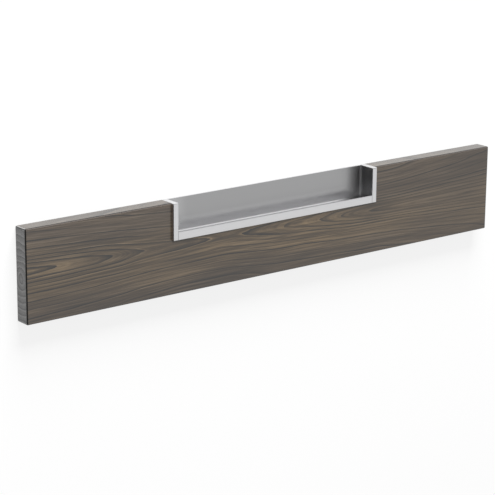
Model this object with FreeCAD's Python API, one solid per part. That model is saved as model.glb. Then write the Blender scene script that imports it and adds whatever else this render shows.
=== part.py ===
import FreeCAD, Part
import math
import os

from FreeCAD import Vector

# Handleless drawer front with a finger pull let into its top edge, in millimetres.
# It lies on its back: +X along the front, +Y towards its notched top edge and
# +Z out of its face. The origin is under the middle of the board, on its back.

# Board
board_length = 600.0
board_height = 94.0
board_thickness = 18.0
board_edge_round = 1.5

# Finger pull, over its two end caps
pull_length = 265.0
pull_height = 38.0
pull_proud = 3.0
side_clearance = 0.1

# Section of the extrusion
lip_height = 8.0
lip_thickness = 2.4
skirt_depth = 5.0
floor_top = 3.5
floor_thickness = 2.0
back_wall_thickness = 2.0
back_foot_depth = 5.0
front_edge_round = 0.5
lip_back_round = 0.8
lip_root_round = 1.0
cove_round = 1.1
wall_top_round = 0.9
channel_round = 0.3

# End caps
cap_thickness = 6.0
cap_edge_round = 0.5
cap_top_front_round = 1.2
tongue_length = 8.0
tongue_clearance = 0.1

# Places worked out from the sizes above
board_top = board_height / 2
notch_floor = board_top - pull_height
pull_front = board_thickness + pull_proud
clear_length = pull_length - 2 * cap_thickness
notch_length = pull_length + 2 * side_clearance


def rounded_outline(corners):
    """A closed wire in the YZ plane through corners of (y, z, round)."""
    count = len(corners)
    starts = []
    arcs = []
    ends = []
    for index, (y, z, radius) in enumerate(corners):
        point = Vector(0, y, z)
        before = Vector(0, corners[index - 1][0], corners[index - 1][1])
        after = Vector(0, corners[(index + 1) % count][0], corners[(index + 1) % count][1])
        if radius <= 0:
            starts.append(point)
            arcs.append(None)
            ends.append(point)
            continue
        to_before = (before - point).normalize()
        to_after = (after - point).normalize()
        half_angle = to_before.getAngle(to_after) / 2
        reach = radius / math.tan(half_angle)
        middle_way = (to_before + to_after).normalize()
        middle = point + middle_way * (radius / math.sin(half_angle) - radius)
        start = point + to_before * reach
        end = point + to_after * reach
        starts.append(start)
        arcs.append(Part.Arc(start, middle, end).toShape())
        ends.append(end)
    edges = []
    for index in range(count):
        following = (index + 1) % count
        if arcs[index] is not None:
            edges.append(arcs[index])
        if ends[index].distanceToPoint(starts[following]) > 1e-6:
            edges.append(Part.LineSegment(ends[index], starts[following]).toShape())
    return Part.Wire(edges)


def extrude_along_x(wire, x_from, x_to):
    face = Part.Face(wire)
    face.translate(Vector(x_from, 0, 0))
    return face.extrude(Vector(x_to - x_from, 0, 0))


def front_board():
    """The board, rounded on all its outer edges, with a square notch in its top edge."""
    board = Part.makeBox(
        board_length, board_height, board_thickness,
        Vector(-board_length / 2, -board_height / 2, 0),
    )
    board = board.makeFillet(board_edge_round, board.Edges)
    past = board_edge_round
    notch = Part.makeBox(
        notch_length, pull_height + past, board_thickness + 2 * past,
        Vector(-notch_length / 2, notch_floor, -past),
    )
    return board.cut(notch)


def pull_section():
    """The extrusion's outline: lip, trough floor with its cove, and back wall on a foot."""
    floor_under = floor_top - floor_thickness
    lip_back = pull_front - lip_thickness
    skirt_back = pull_front - skirt_depth
    return rounded_outline([
        (notch_floor, pull_front, front_edge_round),
        (notch_floor + lip_height, pull_front, front_edge_round),
        (notch_floor + lip_height, lip_back, lip_back_round),
        (notch_floor + floor_top, lip_back, lip_root_round),
        (notch_floor + floor_top, back_wall_thickness, cove_round),
        (board_top, back_wall_thickness, wall_top_round),
        (board_top, 0, wall_top_round),
        (notch_floor, 0, 0),
        (notch_floor, back_foot_depth, 0),
        (notch_floor + floor_under, back_foot_depth, channel_round),
        (notch_floor + floor_under, skirt_back, channel_round),
        (notch_floor, skirt_back, 0),
    ])


def pull_profile():
    return extrude_along_x(pull_section(), -clear_length / 2, clear_length / 2)


def end_cap(side):
    """A solid end block, with a tongue in the channel under the trough floor. side is -1 or 1."""
    block = Part.makeBox(
        cap_thickness, pull_height, pull_front,
        Vector(-cap_thickness / 2, notch_floor, 0),
    )
    block = block.makeFillet(cap_top_front_round, [edge for edge in block.Edges if top_front_edge(edge)])
    block = block.makeFillet(cap_edge_round, [edge for edge in block.Edges if eased_edge(edge)])
    block.translate(Vector(side * (pull_length - cap_thickness) / 2, 0, 0))
    channel_depth = pull_front - skirt_depth - back_foot_depth
    tongue = Part.makeBox(
        tongue_length + cap_thickness / 2,
        floor_top - floor_thickness - tongue_clearance,
        channel_depth - 2 * tongue_clearance,
        Vector(0, notch_floor, back_foot_depth + tongue_clearance),
    )
    if side > 0:
        tongue.translate(Vector(-tongue_length - cap_thickness / 2, 0, 0))
    tongue.translate(Vector(side * (pull_length - cap_thickness) / 2, 0, 0))
    return block.fuse(tongue).removeSplitter()


def top_front_edge(edge):
    """The corner between the cap's front and its top, which has the larger round."""
    middle = edge.CenterOfMass
    return abs(middle.z - pull_front) < 1e-6 and abs(middle.y - board_top) < 1e-6


def eased_edge(edge):
    """The rim of the cap's front, its round and its top. Edges against the wood stay square."""
    box = edge.BoundBox
    on_side = box.XMax - box.XMin < 1e-6
    on_front_or_top = box.ZMin > pull_front - cap_top_front_round - 1e-6 or box.YMin > board_top - 1e-6
    at_bottom_of_front = box.YMax < notch_floor + 1e-6 and box.ZMin > pull_front - 1e-6
    at_back_of_top = box.ZMax < 1e-6 and box.YMin > board_top - 1e-6
    return (on_side and on_front_or_top) or at_bottom_of_front or at_back_of_top


nodes = {
    "front_board": front_board(),
    "pull_profile": pull_profile(),
    "end_cap_left": end_cap(-1),
    "end_cap_right": end_cap(1),
}

os.makedirs("parts", exist_ok=True)
for name, shape in nodes.items():
    shape.exportStep("parts/" + name + ".step")
    print(name, "valid", shape.isValid(), "solids", len(shape.Solids), "volume %.1f" % shape.Volume)
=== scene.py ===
"""A drawer front of dark wood with a satin aluminium finger pull let into its top edge.

The board lies on its back: +X along it, +Y towards the notched edge, +Z out of its face.
"""

import math

import bpy
from bpy.props import FloatProperty, FloatVectorProperty, PointerProperty
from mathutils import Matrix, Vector


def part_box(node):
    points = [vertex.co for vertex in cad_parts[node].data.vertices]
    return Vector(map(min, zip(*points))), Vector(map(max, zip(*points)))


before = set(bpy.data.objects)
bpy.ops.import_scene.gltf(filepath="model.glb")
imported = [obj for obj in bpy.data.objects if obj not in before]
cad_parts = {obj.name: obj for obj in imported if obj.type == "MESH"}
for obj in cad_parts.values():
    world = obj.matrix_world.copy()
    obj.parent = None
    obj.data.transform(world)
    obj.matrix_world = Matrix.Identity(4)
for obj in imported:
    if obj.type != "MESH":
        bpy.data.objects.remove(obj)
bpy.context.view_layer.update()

bl_info = {
    "name": "Drawer front with finger pull",
    "version": (1, 0, 0),
    "blender": (4, 5, 0),
    "location": "View3D > Sidebar > Drawer front",
    "description": "Finishes a wood drawer front and its aluminium finger pull, and lights them",
    "category": "Object",
}

BOARD_LOW, BOARD_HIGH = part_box("front_board")
PULL_LOW, PULL_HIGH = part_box("pull_profile")
FACE_Z = BOARD_HIGH.z
BOARD_LENGTH = BOARD_HIGH.x - BOARD_LOW.x


# Node trees


class Tree:
    """Short calls for building one node tree."""

    def __init__(self, tree):
        self.tree = tree
        self.tree.nodes.clear()

    def node(self, kind, **settings):
        made = self.tree.nodes.new(kind)
        for name, value in settings.items():
            setattr(made, name, value)
        return made

    def feed(self, socket, value):
        """A socket takes another node's output, or a plain value."""
        if isinstance(value, bpy.types.NodeSocket):
            self.tree.links.new(value, socket)
        else:
            socket.default_value = value

    def math(self, operation, first, second=0.0, third=0.0, clamp=False):
        made = self.node("ShaderNodeMath", operation=operation, use_clamp=clamp)
        for socket, value in zip(made.inputs, (first, second, third)):
            self.feed(socket, value)
        return made.outputs[0]

    def step(self, value, low, high, to_low=0.0, to_high=1.0):
        """A smooth step from to_low at low to to_high at high."""
        made = self.node("ShaderNodeMapRange", interpolation_type="SMOOTHSTEP")
        for name, setting in (
            ("Value", value), ("From Min", low), ("From Max", high), ("To Min", to_low), ("To Max", to_high),
        ):
            self.feed(made.inputs[name], setting)
        return made.outputs["Result"]

    def vector(self, x, y, z):
        made = self.node("ShaderNodeCombineXYZ")
        for socket, value in zip(made.inputs, (x, y, z)):
            self.feed(socket, value)
        return made.outputs[0]

    def split(self, vector):
        made = self.node("ShaderNodeSeparateXYZ")
        self.feed(made.inputs[0], vector)
        return made.outputs

    def scaled(self, vector, scale):
        made = self.node("ShaderNodeVectorMath", operation="MULTIPLY")
        self.feed(made.inputs[0], vector)
        made.inputs[1].default_value = scale
        return made.outputs[0]

    def noise(self, vector, detail=2.0, roughness=0.5):
        """Noise about zero, from -0.5 to 0.5, on an already scaled vector."""
        made = self.node("ShaderNodeTexNoise")
        self.feed(made.inputs["Vector"], vector)
        made.inputs["Scale"].default_value = 1.0
        made.inputs["Detail"].default_value = detail
        made.inputs["Roughness"].default_value = roughness
        return self.math("SUBTRACT", made.outputs["Fac"], 0.5)

    def mix(self, factor, first, second):
        made = self.node("ShaderNodeMix", data_type="RGBA")
        self.feed(made.inputs["Factor"], factor)
        self.feed(made.inputs[6], first)
        self.feed(made.inputs[7], second)
        return made.outputs[2]

    def ramp(self, factor, stops, interpolation="LINEAR"):
        made = self.node("ShaderNodeValToRGB")
        made.color_ramp.interpolation = interpolation
        elements = made.color_ramp.elements
        while len(elements) < len(stops):
            elements.new(0.5)
        for element, (position, colour) in zip(elements, stops):
            element.position = position
            element.color = colour
        self.feed(made.inputs[0], factor)
        return made.outputs["Color"]


def grey(value):
    return (value, value, value, 1.0)


def new_material(name):
    material = bpy.data.materials.new(name)
    material.use_nodes = True
    return material, Tree(material.node_tree)


def dress(node_name, material):
    """The CAD piece keeps its mesh and takes this one material."""
    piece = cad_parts[node_name]
    piece.data.materials.clear()
    piece.data.materials.append(material)


# Wood

# Along the board in metres: how many rings lie between the face and the pith behind it, and how
# far apart the rings stand. Each time the first number crosses a ring line, an arch has its tip.
PITH_ALONG_BOARD = (
    (-0.300, 2.55, 1.15), (-0.270, 2.96, 1.12), (-0.2055, 3.96, 1.06), (-0.169, 4.96, 1.02),
    (-0.090, 5.97, 0.95), (-0.067, 6.25, 0.95), (-0.0435, 5.97, 0.97), (0.0095, 4.96, 1.05),
    (0.057, 3.96, 1.05), (0.087, 2.96, 1.04), (0.124, 1.96, 1.04), (0.215, 1.28, 1.20),
    (0.275, 0.95, 1.38), (0.300, 0.85, 1.48),
)
# How dark each ring's line is, from the pith outwards
LINE_STRENGTHS = (
    0.3, 0.7, 0.8, 0.8, 1.0, 0.9, 0.2, 0.7, 0.12, 0.9, 0.12, 0.4, 0.1, 0.75, 0.12, 0.4, 0.15, 0.3,
)


def along_board(tree, x, column, top):
    """One column of PITH_ALONG_BOARD as a smooth curve of x."""
    made = tree.node("ShaderNodeFloatCurve")
    curve = made.mapping.curves[0]
    while len(curve.points) < len(PITH_ALONG_BOARD):
        curve.points.new(0.5, 0.5)
    for point, row in zip(curve.points, PITH_ALONG_BOARD):
        point.location = (row[0] / BOARD_LENGTH + 0.5, row[column] / top)
        point.handle_type = "AUTO_CLAMPED"
    made.mapping.update()
    tree.feed(made.inputs["Value"], tree.math("MULTIPLY_ADD", x, 1 / BOARD_LENGTH, 0.5))
    return tree.math("MULTIPLY", made.outputs["Value"], top)


def growth_rings(tree, place, wood):
    """How many rings lie between the pith and each point of the board, and how many of them sideways.

    The pith runs along the board behind its face. It is deepest left of the middle, which
    turns the arches' tips right on one side of that place and left on the other.
    """
    x, y, z = tree.split(place)
    below_face = tree.math("SUBTRACT", FACE_Z, z)
    deep = tree.math("SUBTRACT", along_board(tree, x, 1, 8.0), tree.math("DIVIDE", below_face, wood.ring_depth))

    pith_y = tree.math("MULTIPLY_ADD", tree.math("MINIMUM", x, 0.15), wood.pith_slope, wood.pith_y)
    from_pith = tree.math("SUBTRACT", y, pith_y)
    spread = tree.math("MULTIPLY", along_board(tree, x, 2, 2.0), wood.ring_width)
    spread = tree.math("MULTIPLY", spread, tree.math("MULTIPLY_ADD", tree.math("ABSOLUTE", from_pith),
                                                     wood.ring_widening, 1.0))
    across = tree.math("DIVIDE", from_pith, spread)

    squares = tree.math("ADD", tree.math("MULTIPLY", across, across), tree.math("MULTIPLY", deep, deep))
    rings = tree.math("SQRT", squares)
    broad = tree.noise(tree.scaled(place, (5.0, 30.0, 30.0)), detail=2.0)
    off_heart = tree.math("ABSOLUTE", across)
    away = tree.step(off_heart, 0.5, 5.0, 0.15, 1.0)
    rings = tree.math("MULTIPLY_ADD", broad, tree.math("MULTIPLY", away, wood.ring_waver), rings)
    fine = tree.noise(tree.scaled(place, (20.0, 160.0, 160.0)), detail=3.0, roughness=0.6)
    return tree.math("MULTIPLY_ADD", fine, wood.ring_fray, rings), off_heart


def line_strength(tree, rings):
    count = len(LINE_STRENGTHS)
    stops = [(number / count, grey(strength)) for number, strength in enumerate(LINE_STRENGTHS)]
    return tree.ramp(tree.math("DIVIDE", rings, count), stops, "CONSTANT")


def wood_shade(tree, place, wood):
    """How light the grain is, from 0 in the darkest lines to 1 in the palest streaks."""
    rings, off_heart = growth_rings(tree, place, wood)
    x, _, z = tree.split(place)
    phase = tree.math("FRACT", rings)
    near_tip = tree.ramp(phase, (
        (0.0, grey(0.70)), (0.10, grey(0.61)), (0.60, grey(0.55)), (0.82, grey(0.44)),
        (0.93, grey(0.08)), (0.975, grey(0.0)), (0.99, grey(0.70)),
    ))
    on_flank = tree.ramp(phase, (
        (0.0, grey(0.70)), (0.12, grey(0.61)), (0.45, grey(0.55)), (0.64, grey(0.46)),
        (0.80, grey(0.0)), (0.92, grey(0.0)), (1.0, grey(0.70)),
    ))
    relief = tree.math("SUBTRACT", tree.mix(tree.step(off_heart, 0.3, 3.0), near_tip, on_flank), 0.53)
    fade = tree.noise(tree.vector(tree.math("MULTIPLY", x, 9.0), tree.math("MULTIPLY", rings, 0.5), 3.0))
    fade = tree.step(fade, -0.2, 0.1, 0.35, 1.0)
    even = tree.step(x, 0.10, 0.22, 1.0, wood.right_end_contrast)
    strength = tree.math("MULTIPLY", line_strength(tree, rings), tree.math("MULTIPLY", fade, wood.line_contrast))
    shade = tree.math("MULTIPLY_ADD", relief, tree.math("MULTIPLY", even, strength), wood.middle_shade)

    along_rings = tree.vector(tree.math("MULTIPLY", x, 7.0), tree.math("MULTIPLY", rings, 2.6),
                              tree.math("MULTIPLY", z, 60.0))
    streaks = tree.noise(along_rings, detail=4.0, roughness=0.75)
    fibres = tree.noise(tree.scaled(place, (11.0, 480.0, 480.0)), detail=4.0, roughness=0.7)
    streaks = tree.math("MULTIPLY", streaks, tree.math("MULTIPLY", even, wood.streak_contrast))
    shade = tree.math("ADD", shade, streaks)
    shade = tree.math("MULTIPLY_ADD", fibres, tree.math("MULTIPLY", even, wood.fibre_contrast), shade)
    return shade, fibres


def end_grain(tree, place, wood):
    """The sawn ends: oval rings about the middle of the section, as light and dark lines."""
    _, y, z = tree.split(place)
    across = tree.math("DIVIDE", tree.math("SUBTRACT", y, wood.end_middle), wood.end_ring_height)
    deep = tree.math("DIVIDE", tree.math("SUBTRACT", z, FACE_Z / 2), wood.end_ring_depth)
    squares = tree.math("ADD", tree.math("MULTIPLY", across, across), tree.math("MULTIPLY", deep, deep))
    waver = tree.noise(tree.scaled(place, (1.0, 60.0, 60.0)), detail=2.0)
    rings = tree.math("MULTIPLY_ADD", waver, 1.2, tree.math("SQRT", squares))
    line = tree.ramp(tree.math("FRACT", rings), (
        (0.0, grey(0.75)), (0.15, grey(0.5)), (0.45, grey(0.4)), (0.58, grey(0.0)), (0.70, grey(0.0)),
        (0.82, grey(1.0)), (0.94, grey(1.0)), (1.0, grey(0.75)),
    ))
    specks = tree.noise(tree.scaled(place, (900.0, 900.0, 900.0)), detail=2.0)
    shade = tree.math("MULTIPLY_ADD", specks, 0.5, line, clamp=True)
    return tree.mix(shade, (*wood.end_line_colour, 1.0), (*wood.end_colour, 1.0))


def painted_edge_reflections(tree, normal, colour, wood):
    """Painted reflections along the rounded edges: dark lines and pale highlight lines, set by the slope of the
    surface there.
    """
    x, up, out = tree.split(normal)
    along_end = tree.math("ABSOLUTE", x)
    # Painted dark reflection: on the upright edges by the ends, on the upper part of the top edge and on the
    # lower part of the ends' top edges.
    upright = tree.math("MULTIPLY", tree.step(along_end, 0.12, 0.3), tree.step(out, 0.05, 0.2))
    top_dark = tree.math("MULTIPLY", tree.step(up, 0.62, 0.72), tree.step(out, 0.15, 0.3))
    end_dark = tree.math("MULTIPLY", tree.step(up, 0.08, 0.2), tree.step(along_end, 0.6, 0.7))
    dark = tree.math("MAXIMUM", upright, tree.math("MAXIMUM", top_dark, end_dark))
    # Painted highlights: a paler sheen on the lower part of the top edge, and a pale highlight on the upper part
    # of the ends' top edges.
    painted_top_light = tree.math("MULTIPLY", tree.step(up, 0.15, 0.35), tree.step(out, 0.62, 0.75))
    painted_end_highlight = tree.math("MULTIPLY", tree.step(up, 0.68, 0.78), tree.step(along_end, 0.12, 0.3))
    colour = tree.mix(painted_top_light, colour, (*wood.edge_painted_sheen, 1.0))
    colour = tree.mix(painted_end_highlight, colour, (*wood.edge_painted_highlight, 1.0))
    return tree.mix(dark, colour, (*wood.edge_painted_dark, 1.0))


def wood_material(wood):
    material, tree = new_material("lacquered_dark_wood")
    place = tree.node("ShaderNodeTexCoord").outputs["Object"]
    shade, fibres = wood_shade(tree, place, wood)

    x, y, _ = tree.split(place)
    patches = tree.noise(tree.scaled(place, (5.0, 28.0, 28.0)), detail=2.0)
    near_heart = tree.step(tree.math("ABSOLUTE", tree.math("ADD", y, 0.004)), 0.008, 0.040, 1.0, 0.0)
    near_heart = tree.math("MULTIPLY", near_heart, tree.step(x, 0.02, 0.26, 1.0, 0.35))
    warmth = tree.math("MULTIPLY_ADD", patches, 1.4, tree.math("MULTIPLY_ADD", near_heart, 0.62, 0.1), clamp=True)
    shade = tree.math("MULTIPLY_ADD", patches, wood.patch_contrast, shade)
    shade = tree.math("MULTIPLY_ADD", near_heart, wood.heart_light, shade)
    low_edge = tree.step(y, BOARD_LOW.y, BOARD_LOW.y + 0.027, 1.0, 0.0)
    shade = tree.math("MULTIPLY_ADD", low_edge, -wood.low_edge_dark, shade)
    normal = tree.node("ShaderNodeNewGeometry").outputs["Normal"]
    # Painted light: the top face's grain is shifted paler, for the brighter light it catches.
    on_top = tree.step(tree.split(normal)[1], 0.93, 0.99)
    shade = tree.math("MULTIPLY_ADD", on_top, wood.painted_top_light, shade, clamp=True)
    cool = tree.ramp(shade, (
        (0.0, (*wood.line_colour, 1.0)), (0.45, (*wood.cool_colour, 1.0)), (1.0, (*wood.pale_colour, 1.0)),
    ))
    warm = tree.ramp(shade, (
        (0.0, (*wood.line_colour, 1.0)), (0.45, (*wood.warm_colour, 1.0)), (1.0, (*wood.gold_colour, 1.0)),
    ))
    colour = tree.mix(warmth, cool, warm)

    towards_end = tree.math("ABSOLUTE", tree.split(normal)[0])
    end_on = tree.step(towards_end, 0.93, 0.99)
    colour = tree.mix(end_on, colour, end_grain(tree, place, wood))
    # Painted reflections and highlights along the rounded edges.
    colour = painted_edge_reflections(tree, normal, colour, wood)

    bump = tree.node("ShaderNodeBump")
    bump.inputs["Strength"].default_value = wood.pore_depth
    bump.inputs["Distance"].default_value = 0.0002
    tree.feed(bump.inputs["Height"], fibres)

    shader = tree.node("ShaderNodeBsdfPrincipled")
    tree.feed(shader.inputs["Base Color"], colour)
    tree.feed(shader.inputs["Normal"], bump.outputs["Normal"])
    shader.inputs["Roughness"].default_value = wood.roughness
    shader.inputs["Specular IOR Level"].default_value = 0.0
    shader.inputs["Coat Weight"].default_value = wood.lacquer
    shader.inputs["Coat Roughness"].default_value = wood.lacquer_roughness
    shader.inputs["Coat IOR"].default_value = wood.lacquer_index
    output = tree.node("ShaderNodeOutputMaterial")
    tree.feed(output.inputs["Surface"], shader.outputs["BSDF"])
    return material


class WoodSettings(bpy.types.PropertyGroup):
    ring_width: FloatProperty(name="Ring width", description="Between two rings, across the face",
                              default=0.0022, min=0.0005, unit="LENGTH", precision=4)
    ring_widening: FloatProperty(name="Ring widening", description="How much wider each metre from the pith",
                                 default=8.0)
    ring_depth: FloatProperty(name="Ring depth", description="Between two rings, into the board",
                              default=0.010, min=0.001, unit="LENGTH", precision=4)
    pith_y: FloatProperty(name="Pith height", description="The pith's height at mid-length",
                          default=0.0015, unit="LENGTH", precision=4)
    pith_slope: FloatProperty(name="Pith slope", description="How it falls along the board",
                              default=-0.0150)
    ring_waver: FloatProperty(name="Ring waver", description="How far the rings wander, in rings", default=2.2)
    ring_fray: FloatProperty(name="Ring fray", description="How rough the lines are, in rings", default=0.4)
    line_contrast: FloatProperty(name="Line contrast", description="Strength of the ring lines", default=1.4)
    streak_contrast: FloatProperty(name="Streaks", description="Strength of the long streaks", default=1.1)
    fibre_contrast: FloatProperty(name="Fibres", description="Strength of the fine fibres", default=1.0)
    patch_contrast: FloatProperty(name="Patches", description="Strength of the broad patches", default=0.70)
    middle_shade: FloatProperty(name="Middle shade", description="How light the plain grain is", default=0.452)
    right_end_contrast: FloatProperty(name="Right end", description="Share of the grain's contrast there",
                                      default=0.72)
    heart_light: FloatProperty(name="Heart light", description="How much paler the middle is", default=0.09)
    low_edge_dark: FloatProperty(name="Low edge", description="How much darker the lower edge is", default=0.13)
    # Painted light: how much paler the top face's grain is made.
    painted_top_light: FloatProperty(name="Top pale", description="How much paler the long edges are", default=0.31)
    line_colour: FloatVectorProperty(name="Line colour", description="Late wood, the dark lines",
                                     subtype="COLOR", default=(0.030, 0.029, 0.028))
    cool_colour: FloatVectorProperty(name="Cool colour", description="Wood away from the middle",
                                     subtype="COLOR", default=(0.076, 0.060, 0.047))
    pale_colour: FloatVectorProperty(name="Pale colour", description="Palest cool streaks",
                                     subtype="COLOR", default=(0.180, 0.148, 0.118))
    warm_colour: FloatVectorProperty(name="Warm colour", description="Wood near the middle",
                                     subtype="COLOR", default=(0.080, 0.060, 0.040))
    gold_colour: FloatVectorProperty(name="Gold colour", description="Palest warm streaks",
                                     subtype="COLOR", default=(0.262, 0.184, 0.098))
    end_colour: FloatVectorProperty(name="End colour", description="Light rings on the sawn end",
                                    subtype="COLOR", default=(0.190, 0.187, 0.185))
    end_line_colour: FloatVectorProperty(name="End line colour", description="Dark rings on the sawn end",
                                         subtype="COLOR", default=(0.055, 0.054, 0.053))
    # Painted reflections on the eased edges: a dark reflection, a sheen along the face's top edge and a highlight
    # over the ends.
    edge_painted_dark: FloatVectorProperty(name="Edge dark", description="Dark line along the eased edges",
                                   subtype="COLOR", default=(0.013, 0.012, 0.011))
    edge_painted_sheen: FloatVectorProperty(name="Edge sheen", description="Paler line along the face's top edge",
                                    subtype="COLOR", default=(0.150, 0.125, 0.110))
    edge_painted_highlight: FloatVectorProperty(name="Edge highlight", description="Pale line over the ends",
                                        subtype="COLOR", default=(0.62, 0.62, 0.61))
    end_middle: FloatProperty(name="End middle", description="Height of the rings' middle on the sawn end",
                              default=-0.003, unit="LENGTH", precision=4)
    end_ring_height: FloatProperty(name="End ring height", description="Between two rings up the sawn end",
                                   default=0.0062, unit="LENGTH", precision=4)
    end_ring_depth: FloatProperty(name="End ring depth", description="Between two rings across the sawn end",
                                  default=0.0055, unit="LENGTH", precision=4)
    pore_depth: FloatProperty(name="Pores", description="Relief of the fibres under the lacquer",
                              default=0.15, min=0.0, max=1.0)
    roughness: FloatProperty(name="Roughness", description="Of the wood itself", default=0.55, min=0, max=1)
    lacquer: FloatProperty(name="Lacquer", description="How much lacquer there is", default=1.0, min=0, max=1)
    lacquer_roughness: FloatProperty(name="Lacquer roughness", description="How dull the lacquer is",
                                     default=0.22, min=0, max=1)
    lacquer_index: FloatProperty(name="Lacquer index", description="How strongly the lacquer reflects",
                                 default=1.65, min=1, max=3)


class DRAWER_FRONT_OT_finish_board(bpy.types.Operator):
    """Give the board its wood grain and lacquer"""

    bl_idname = "drawer_front.finish_board"
    bl_label = "Finish board"

    def execute(self, context):
        dress("front_board", wood_material(context.scene.drawer_front_wood))
        return {"FINISHED"}


# Aluminium


def recess_masks(tree, normal, place):
    """The wall at the back of the recess: all of it, its darker part above the lip, its ends and joints."""
    x, y, z = tree.split(place)
    out = tree.split(normal)[2]
    inside = tree.step(z, FACE_Z - 0.002, FACE_Z, 1.0, 0.0)
    wall = tree.math("MULTIPLY", tree.step(out, 0.9, 0.99), inside)
    dark_part = tree.math("MULTIPLY", wall, tree.step(y, PULL_LOW.y + 0.007, PULL_LOW.y + 0.019))
    to_end = tree.math("SUBTRACT", PULL_HIGH.x, tree.math("ABSOLUTE", x))
    near_end = tree.math("MULTIPLY", wall, tree.step(to_end, 0.006, 0.026, 1.0, 0.0))
    joint = tree.math("MULTIPLY", wall, tree.step(to_end, 0.0014, 0.0022, 1.0, 0.0))
    lip_back = tree.math("MULTIPLY", tree.step(out, -0.99, -0.9, 1.0, 0.0), tree.step(z, FACE_Z - 0.002, FACE_Z))
    return wall, dark_part, near_end, joint, lip_back


def aluminium_material(name, metal, is_extrusion):
    """Satin anodised metal. The wall at the back of the extrusion's recess is darker and duller. Its lower band
    behind the lip, and in part its ends, take a paler colour: painted light, standing in for light reflected into
    the recess.
    """
    material, tree = new_material(name)
    place = tree.node("ShaderNodeTexCoord").outputs["Object"]
    normal = tree.node("ShaderNodeNewGeometry").outputs["Normal"]
    drawn = tree.noise(tree.scaled(place, (3.0, 900.0, 900.0)), detail=2.0)
    tint = tree.noise(tree.scaled(place, (8.0, 300.0, 300.0)), detail=1.0)

    colour = tree.mix(tree.math("ADD", tint, 0.5), (*metal.colour, 1.0),
                      tuple(0.97 * part for part in metal.colour) + (1.0,))
    roughness = tree.math("MULTIPLY_ADD", tint, 0.02, metal.roughness)
    metallic = 1.0
    if is_extrusion:
        wall, dark_part, near_end, joint, lip_back = recess_masks(tree, normal, place)
        # Painted light: the wall's lower band behind the lip, and in part its ends, are tinted paler.
        colour = tree.mix(wall, colour, (*metal.band_painted_light_colour, 1.0))
        colour = tree.mix(dark_part, colour, (*metal.back_colour, 1.0))
        colour = tree.mix(tree.math("MULTIPLY", near_end, 0.4), colour, (*metal.band_painted_light_colour, 1.0))
        roughness = tree.math("MULTIPLY_ADD", wall, metal.back_roughness - metal.roughness, roughness)
        roughness = tree.math("MULTIPLY_ADD", near_end, metal.end_roughness - metal.back_roughness, roughness)
        metallic = tree.math("MULTIPLY_ADD", joint, metal.joint_metallic - 1.0, 1.0)
        metallic = tree.math("MULTIPLY_ADD", lip_back, metal.lip_back_metallic - 1.0, metallic)

    bump = tree.node("ShaderNodeBump")
    bump.inputs["Strength"].default_value = metal.drawn_lines
    bump.inputs["Distance"].default_value = 0.00005
    tree.feed(bump.inputs["Height"], drawn)

    shader = tree.node("ShaderNodeBsdfPrincipled")
    tree.feed(shader.inputs["Metallic"], metallic)
    tree.feed(shader.inputs["Base Color"], colour)
    tree.feed(shader.inputs["Roughness"], roughness)
    tree.feed(shader.inputs["Normal"], bump.outputs["Normal"])
    output = tree.node("ShaderNodeOutputMaterial")
    tree.feed(output.inputs["Surface"], shader.outputs["BSDF"])
    return material


class MetalSettings(bpy.types.PropertyGroup):
    colour: FloatVectorProperty(name="Colour", description="Satin anodised aluminium",
                                subtype="COLOR", default=(0.83, 0.83, 0.84))
    back_colour: FloatVectorProperty(name="Back colour", description="Wall at the back of the recess",
                                     subtype="COLOR", default=(0.455, 0.455, 0.46))
    # Painted light: a paler tint on the wall behind the lip and near its ends.
    band_painted_light_colour: FloatVectorProperty(name="Band colour", description="That wall behind the lip",
                                     subtype="COLOR", default=(0.90, 0.90, 0.91))
    roughness: FloatProperty(name="Roughness", description="How dull the satin is", default=0.30, min=0, max=1)
    back_roughness: FloatProperty(name="Back roughness", description="How dull the wall is", default=0.28,
                                  min=0, max=1)
    end_roughness: FloatProperty(name="End roughness", description="How dull the wall's ends are",
                                 default=0.42, min=0, max=1)
    joint_metallic: FloatProperty(name="Joint metallic", description="How mirror-like the wall's joints are",
                                  default=0.88, min=0, max=1)
    lip_back_metallic: FloatProperty(name="Lip back metallic", description="How mirror-like the lip's back is",
                                     default=0.6, min=0, max=1)
    drawn_lines: FloatProperty(name="Drawn lines", description="Relief left along the extrusion",
                               default=0.02, min=0.0, max=1.0)


class DRAWER_FRONT_OT_finish_pull(bpy.types.Operator):
    """Give the extruded pull its satin finish"""

    bl_idname = "drawer_front.finish_pull"
    bl_label = "Finish pull"

    def execute(self, context):
        dress("pull_profile", aluminium_material("satin_extrusion", context.scene.drawer_front_metal, True))
        return {"FINISHED"}


class DRAWER_FRONT_OT_finish_end_caps(bpy.types.Operator):
    """Give both end caps their satin finish"""

    bl_idname = "drawer_front.finish_end_caps"
    bl_label = "Finish end caps"

    def execute(self, context):
        material = aluminium_material("satin_end_cap", context.scene.drawer_front_metal, False)
        for name in ("end_cap_left", "end_cap_right"):
            dress(name, material)
        return {"FINISHED"}


# Stage


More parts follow.
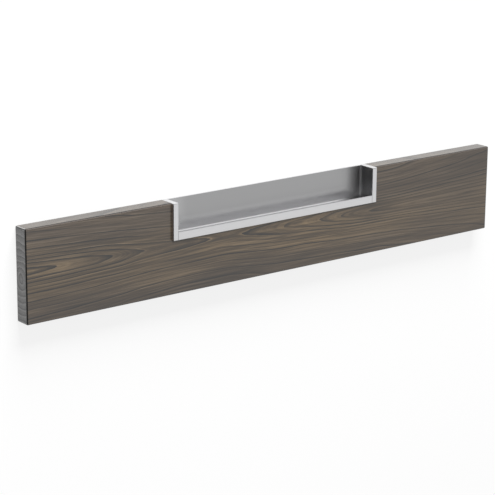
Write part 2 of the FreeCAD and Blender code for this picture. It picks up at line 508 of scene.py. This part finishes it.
def floor_material(stage):
    """White to the camera and in reflections, with the object's soft shadow still on it."""
    material, tree = new_material("studio_floor")
    rays = tree.node("ShaderNodeLightPath").outputs
    plain = tree.node("ShaderNodeBsdfDiffuse")
    plain.inputs["Color"].default_value = grey(stage.floor_bounce)
    faint = tree.node("ShaderNodeBsdfDiffuse")
    faint.inputs["Color"].default_value = grey(stage.shadow_share)
    glow = tree.node("ShaderNodeEmission")
    glow.inputs["Color"].default_value = grey(1.0)
    glow.inputs["Strength"].default_value = stage.floor_glow
    shown = tree.node("ShaderNodeAddShader")
    tree.feed(shown.inputs[0], faint.outputs[0])
    tree.feed(shown.inputs[1], glow.outputs[0])
    seen = tree.math("MAXIMUM", rays["Is Camera Ray"], rays["Is Glossy Ray"])
    choice = tree.node("ShaderNodeMixShader")
    tree.feed(choice.inputs[0], seen)
    tree.feed(choice.inputs[1], plain.outputs[0])
    tree.feed(choice.inputs[2], shown.outputs[0])
    output = tree.node("ShaderNodeOutputMaterial")
    tree.feed(output.inputs["Surface"], choice.outputs[0])
    return material


def build_floor(stage):
    half = stage.floor_size / 2
    corners = [(-half, -half, 0), (half, -half, 0), (half, half, 0), (-half, half, 0)]
    mesh = bpy.data.meshes.new("floor")
    mesh.from_pydata([(x, y, z - stage.floor_gap) for x, y, z in corners], [], [(0, 1, 2, 3)])
    floor = bpy.data.objects.new("floor", mesh)
    bpy.context.scene.collection.objects.link(floor)
    floor.data.materials.append(floor_material(stage))
    return floor


def build_world(stage):
    """White to the camera and an even dome of light to everything else. In reflections it is a room: dim
    on the left, brighter below on the right, and brightest overhead, beyond the notched edge."""
    world = bpy.data.worlds.new("studio")
    bpy.context.scene.world = world
    world.use_nodes = True
    tree = Tree(world.node_tree)
    rays = tree.node("ShaderNodeLightPath").outputs
    x, y, _ = tree.split(tree.node("ShaderNodeTexCoord").outputs["Generated"])
    below = tree.step(y, -0.10, 0.16, stage.room_level, stage.front_level)
    overhead = tree.step(y, 0.50, 0.68, 0.0, stage.top_level)
    ahead = tree.math("MAXIMUM", below, overhead)
    on_right = tree.step(x, stage.dim_from, stage.dim_to)
    level = tree.math("MULTIPLY_ADD", tree.math("SUBTRACT", ahead, stage.dim_level), on_right, stage.dim_level)
    shown = tree.mix(rays["Is Glossy Ray"], grey(stage.dome_level), level)
    shown = tree.mix(rays["Is Camera Ray"], shown, grey(1.0))
    background = tree.node("ShaderNodeBackground")
    tree.feed(background.inputs["Color"], shown)
    output = tree.node("ShaderNodeOutputWorld")
    tree.feed(output.inputs["Surface"], background.outputs[0])


def add_area_light(name, place, size, power):
    """A square lamp that faces the object and doesn't show in its reflections."""
    data = bpy.data.lights.new(name, "AREA")
    data.shape = "SQUARE"
    data.size = size
    data.energy = power
    light = bpy.data.objects.new(name, data)
    light.visible_glossy = False
    light.location = Vector(place)
    light.rotation_euler = (-light.location).to_track_quat("-Z", "Y").to_euler()
    bpy.context.scene.collection.objects.link(light)
    return light


def light_only(light, objects):
    """The lamp lights these objects alone, though all of them still cast its shadows."""
    lit = bpy.data.collections.new("lit_by_" + light.name)
    for thing in objects:
        lit.objects.link(thing)
    light.light_linking.receiver_collection = lit


def build_lights(stage, floor):
    key = add_area_light("key_light", stage.key_place, stage.key_size, stage.key_power)
    light_only(key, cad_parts.values())
    shadow = add_area_light("shadow_light", stage.shadow_place, stage.shadow_size, stage.shadow_power)
    light_only(shadow, [floor])


def place_camera(stage):
    data = bpy.data.cameras.new("camera")
    data.sensor_width = 36.0
    data.lens = stage.lens
    camera = bpy.data.objects.new("camera", data)
    camera.location = Vector(stage.camera_place)
    camera.rotation_mode = "ZXY"
    camera.rotation_euler = (stage.camera_pitch, -stage.camera_yaw, stage.camera_roll)
    bpy.context.scene.collection.objects.link(camera)
    bpy.context.scene.camera = camera


class StageSettings(bpy.types.PropertyGroup):
    floor_size: FloatProperty(name="Floor size", description="Side of the floor", default=30.0, unit="LENGTH")
    floor_gap: FloatProperty(name="Floor gap", description="Below the board's back", default=0.0002,
                             unit="LENGTH", precision=4)
    floor_bounce: FloatProperty(name="Floor bounce", description="Share of light that the floor throws back",
                                default=0.42, min=0, max=1)
    floor_glow: FloatProperty(name="Floor glow", description="The floor's even white", default=0.818,
                              min=0, max=1)
    shadow_share: FloatProperty(name="Shadow", description="Share of the floor's light that shows shadow",
                                default=0.18, min=0, max=1)
    dome_level: FloatProperty(name="Dome level", description="Even light from all round", default=0.38)
    room_level: FloatProperty(name="Room level", description="The room in reflections", default=0.775)
    top_level: FloatProperty(name="Top level", description="The same beyond the notched edge", default=1.08)
    front_level: FloatProperty(name="Front level", description="The same straight ahead", default=0.42)
    dim_level: FloatProperty(name="Dim level", description="The same on the dim left side", default=0.006)
    dim_from: FloatProperty(name="Dim from", description="Where the dim side ends, as a direction",
                            default=-0.22)
    dim_to: FloatProperty(name="Dim to", description="Where the bright side starts", default=0.24)
    key_power: FloatProperty(name="Key power", description="Key light", default=38.0, unit="POWER")
    key_size: FloatProperty(name="Key size", description="Side of the key light", default=1.2, unit="LENGTH")
    key_place: FloatVectorProperty(name="Key place", description="Where the key light hangs",
                                   subtype="TRANSLATION", default=(-0.5, 1.2, 1.4))
    shadow_power: FloatProperty(name="Shadow light power", description="Lamp that lights the floor alone",
                                default=150.0, unit="POWER")
    shadow_size: FloatProperty(name="Shadow light size", description="Side of that lamp", default=1.5,
                               unit="LENGTH")
    shadow_place: FloatVectorProperty(name="Shadow light place", description="Where that lamp hangs",
                                      subtype="TRANSLATION", default=(0.0, 2.4, 0.9))
    camera_place: FloatVectorProperty(name="Camera place", description="Where the camera stands",
                                      subtype="TRANSLATION", default=(-1.2127, 0.5184, 1.5237))
    camera_yaw: FloatProperty(name="Camera yaw", description="Turn towards the right end",
                              default=math.radians(37.957), unit="ROTATION")
    camera_pitch: FloatProperty(name="Camera pitch", description="Tilt towards the notched edge",
                                default=math.radians(-15.568), unit="ROTATION")
    camera_roll: FloatProperty(name="Camera roll", description="Turn about its own line of sight",
                               default=math.radians(0.436), unit="ROTATION")
    lens: FloatProperty(name="Lens", description="Focal length in mm, on a 36 mm sensor", default=142.03)


class DRAWER_FRONT_OT_build_stage(bpy.types.Operator):
    """Set up the floor, the light and the camera"""

    bl_idname = "drawer_front.build_stage"
    bl_label = "Build stage"

    def execute(self, context):
        stage = context.scene.drawer_front_stage
        floor = build_floor(stage)
        build_world(stage)
        build_lights(stage, floor)
        place_camera(stage)
        context.scene.view_settings.view_transform = "Standard"
        return {"FINISHED"}


# Panel and registration


class DRAWER_FRONT_PT_panel(bpy.types.Panel):
    """Lists the steps and their settings"""

    bl_idname = "DRAWER_FRONT_PT_panel"
    bl_label = "Drawer front"
    bl_space_type = "VIEW_3D"
    bl_region_type = "UI"
    bl_category = "Drawer front"

    def draw(self, context):
        scene = context.scene
        for operator, settings in (
            (DRAWER_FRONT_OT_finish_board, scene.drawer_front_wood),
            (DRAWER_FRONT_OT_finish_pull, scene.drawer_front_metal),
            (DRAWER_FRONT_OT_finish_end_caps, None),
            (DRAWER_FRONT_OT_build_stage, scene.drawer_front_stage),
        ):
            box = self.layout.box()
            box.operator(operator.bl_idname)
            if settings is not None:
                for name in settings.__annotations__:
                    box.prop(settings, name)


SETTINGS = {
    "drawer_front_wood": WoodSettings,
    "drawer_front_metal": MetalSettings,
    "drawer_front_stage": StageSettings,
}
CLASSES = (
    *SETTINGS.values(),
    DRAWER_FRONT_OT_finish_board,
    DRAWER_FRONT_OT_finish_pull,
    DRAWER_FRONT_OT_finish_end_caps,
    DRAWER_FRONT_OT_build_stage,
    DRAWER_FRONT_PT_panel,
)


def register():
    for cls in CLASSES:
        bpy.utils.register_class(cls)
    for name, cls in SETTINGS.items():
        setattr(bpy.types.Scene, name, PointerProperty(type=cls))


def unregister():
    for name in SETTINGS:
        delattr(bpy.types.Scene, name)
    for cls in reversed(CLASSES):
        bpy.utils.unregister_class(cls)


def main():
    register()
    bpy.ops.drawer_front.finish_board()
    bpy.ops.drawer_front.finish_pull()
    bpy.ops.drawer_front.finish_end_caps()
    bpy.ops.drawer_front.build_stage()


if __name__ == "__main__":
    main()
